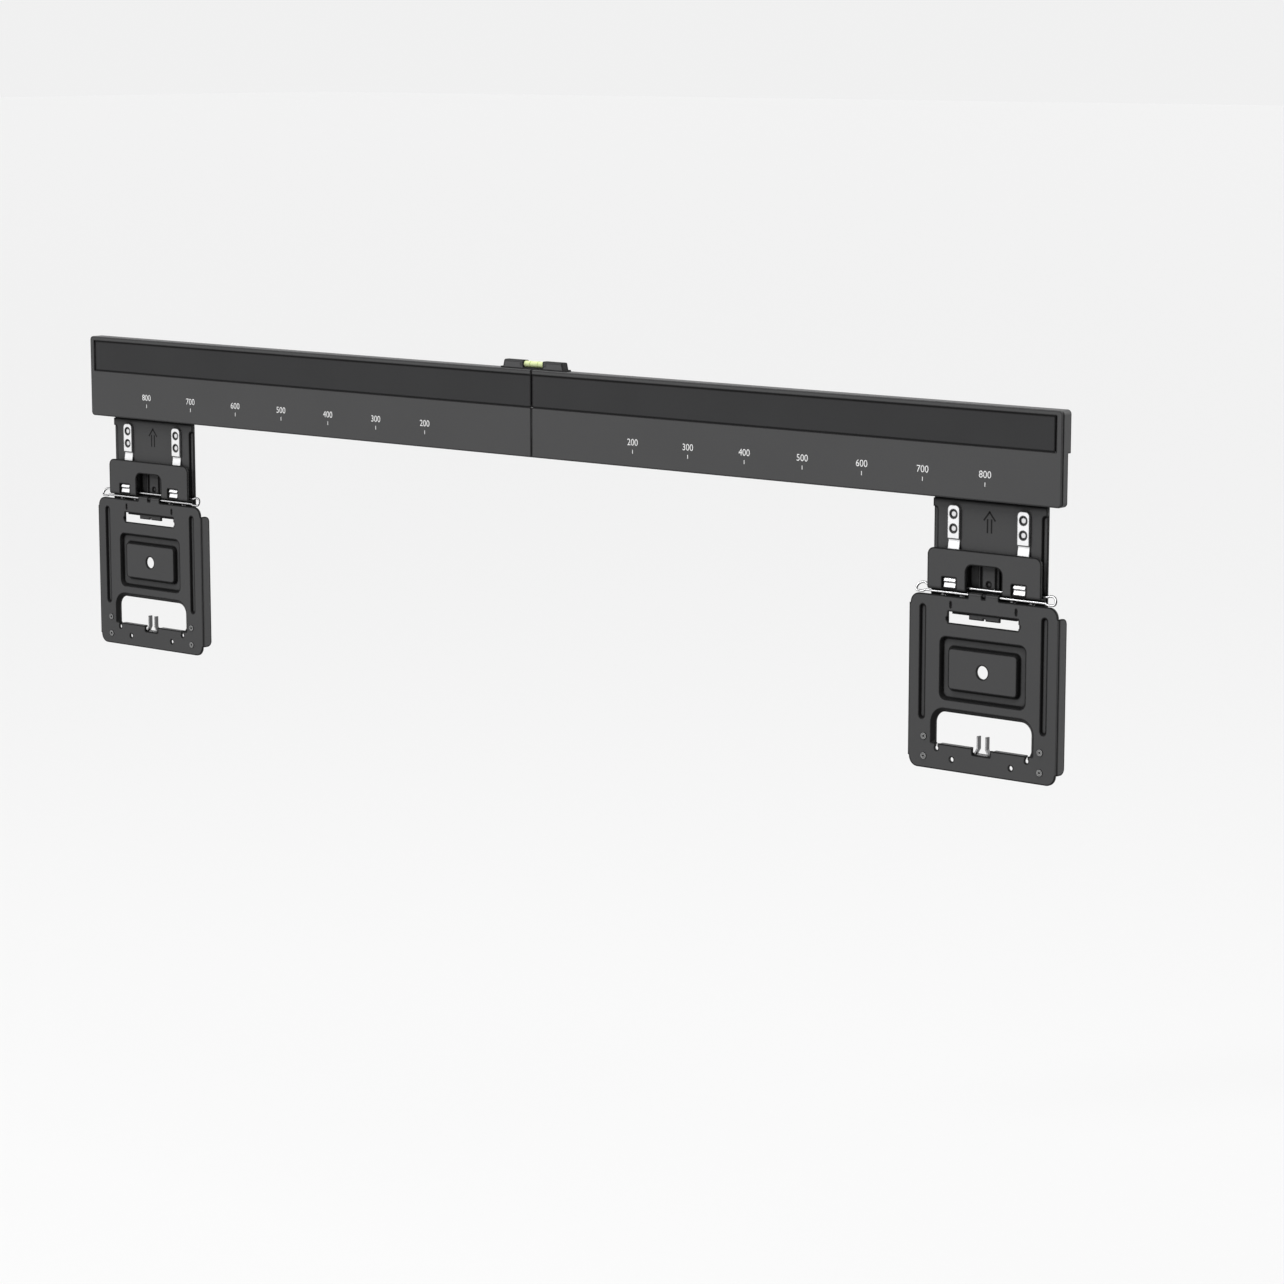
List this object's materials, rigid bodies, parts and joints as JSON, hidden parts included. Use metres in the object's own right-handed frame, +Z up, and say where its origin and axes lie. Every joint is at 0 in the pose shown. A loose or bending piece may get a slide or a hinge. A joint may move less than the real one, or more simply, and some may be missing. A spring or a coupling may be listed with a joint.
{
  "type": "fixed TV wall bracket",
  "caption": "Slim steel wall rail with a spirit level and a width scale, carrying sliding hangers with hinged pressed plates that hold a flat screen.",
  "frame": {"origin": "on the wall plane, on the line of the wall screws, at the scale's zero", "axes": "+X along the rail to the right seen from the room, +Y into the wall, +Z up"},
  "size_m": [0.9243, 0.0105, 0.2515],
  "materials": {
    "rail_paint": "fine satin dark grey powder coat",
    "cover_plastic": "matt charcoal strip",
    "hanger_paint": "satin dark grey powder coat",
    "level_plastic": "black moulded plastic",
    "vial_plastic": "clear yellow-green vial",
    "zinc_steel": "zinc plated",
    "spring_steel": "bright spring steel",
    "rivet_steel": "plated rivet heads",
    "eyelet_steel": "plated eyelets",
    "wire_chrome": "bright chrome wire"
  },
  "bodies": {
    "rail": {"left_rail": "rail_paint", "right_rail": "rail_paint", "left_cover_strip": "cover_plastic", "right_cover_strip": "cover_plastic", "splice_plate": "zinc_steel", "splice_screws": "zinc_steel", "level_holder": "level_plastic", "level_vial": "vial_plastic"},
    "left_hanger": {"left_carriage": "hanger_paint", "left_outer_leaf_spring": "spring_steel", "left_inner_leaf_spring": "spring_steel", "left_leaf_rivets": "rivet_steel", "left_hook_plate": "hanger_paint", "left_hook_rivets": "rivet_steel", "left_bail": "wire_chrome"},
    "left_swing_plate": {"left_screen_plate": "hanger_paint", "left_corner_eyelets": "eyelet_steel", "left_spring_clip": "spring_steel"},
    "right_hanger": {"right_carriage": "hanger_paint", "right_outer_leaf_spring": "spring_steel", "right_inner_leaf_spring": "spring_steel", "right_leaf_rivets": "rivet_steel", "right_hook_plate": "hanger_paint", "right_hook_rivets": "rivet_steel", "right_bail": "wire_chrome"},
    "right_swing_plate": {"right_screen_plate": "hanger_paint", "right_corner_eyelets": "eyelet_steel", "right_spring_clip": "spring_steel"}
  },
  "joints": [
    {"name": "left_hanger_slide", "type": "slide", "parent": "rail", "child": "left_hanger", "axis": [1, 0, 0], "range_m": [0, 0.3]},
    {"name": "left_plate_swing", "type": "hinge", "parent": "left_hanger", "child": "left_swing_plate", "pos_m": [-0.4, -0.0082, -0.1098], "axis": [-1, 0, 0], "range_deg": [0, 15]},
    {"name": "right_hanger_slide", "type": "slide", "parent": "rail", "child": "right_hanger", "axis": [1, 0, 0], "range_m": [-0.3, 0]},
    {"name": "right_plate_swing", "type": "hinge", "parent": "right_hanger", "child": "right_swing_plate", "pos_m": [0.4, -0.0082, -0.1098], "axis": [-1, 0, 0], "range_deg": [0, 15]}
  ]
}
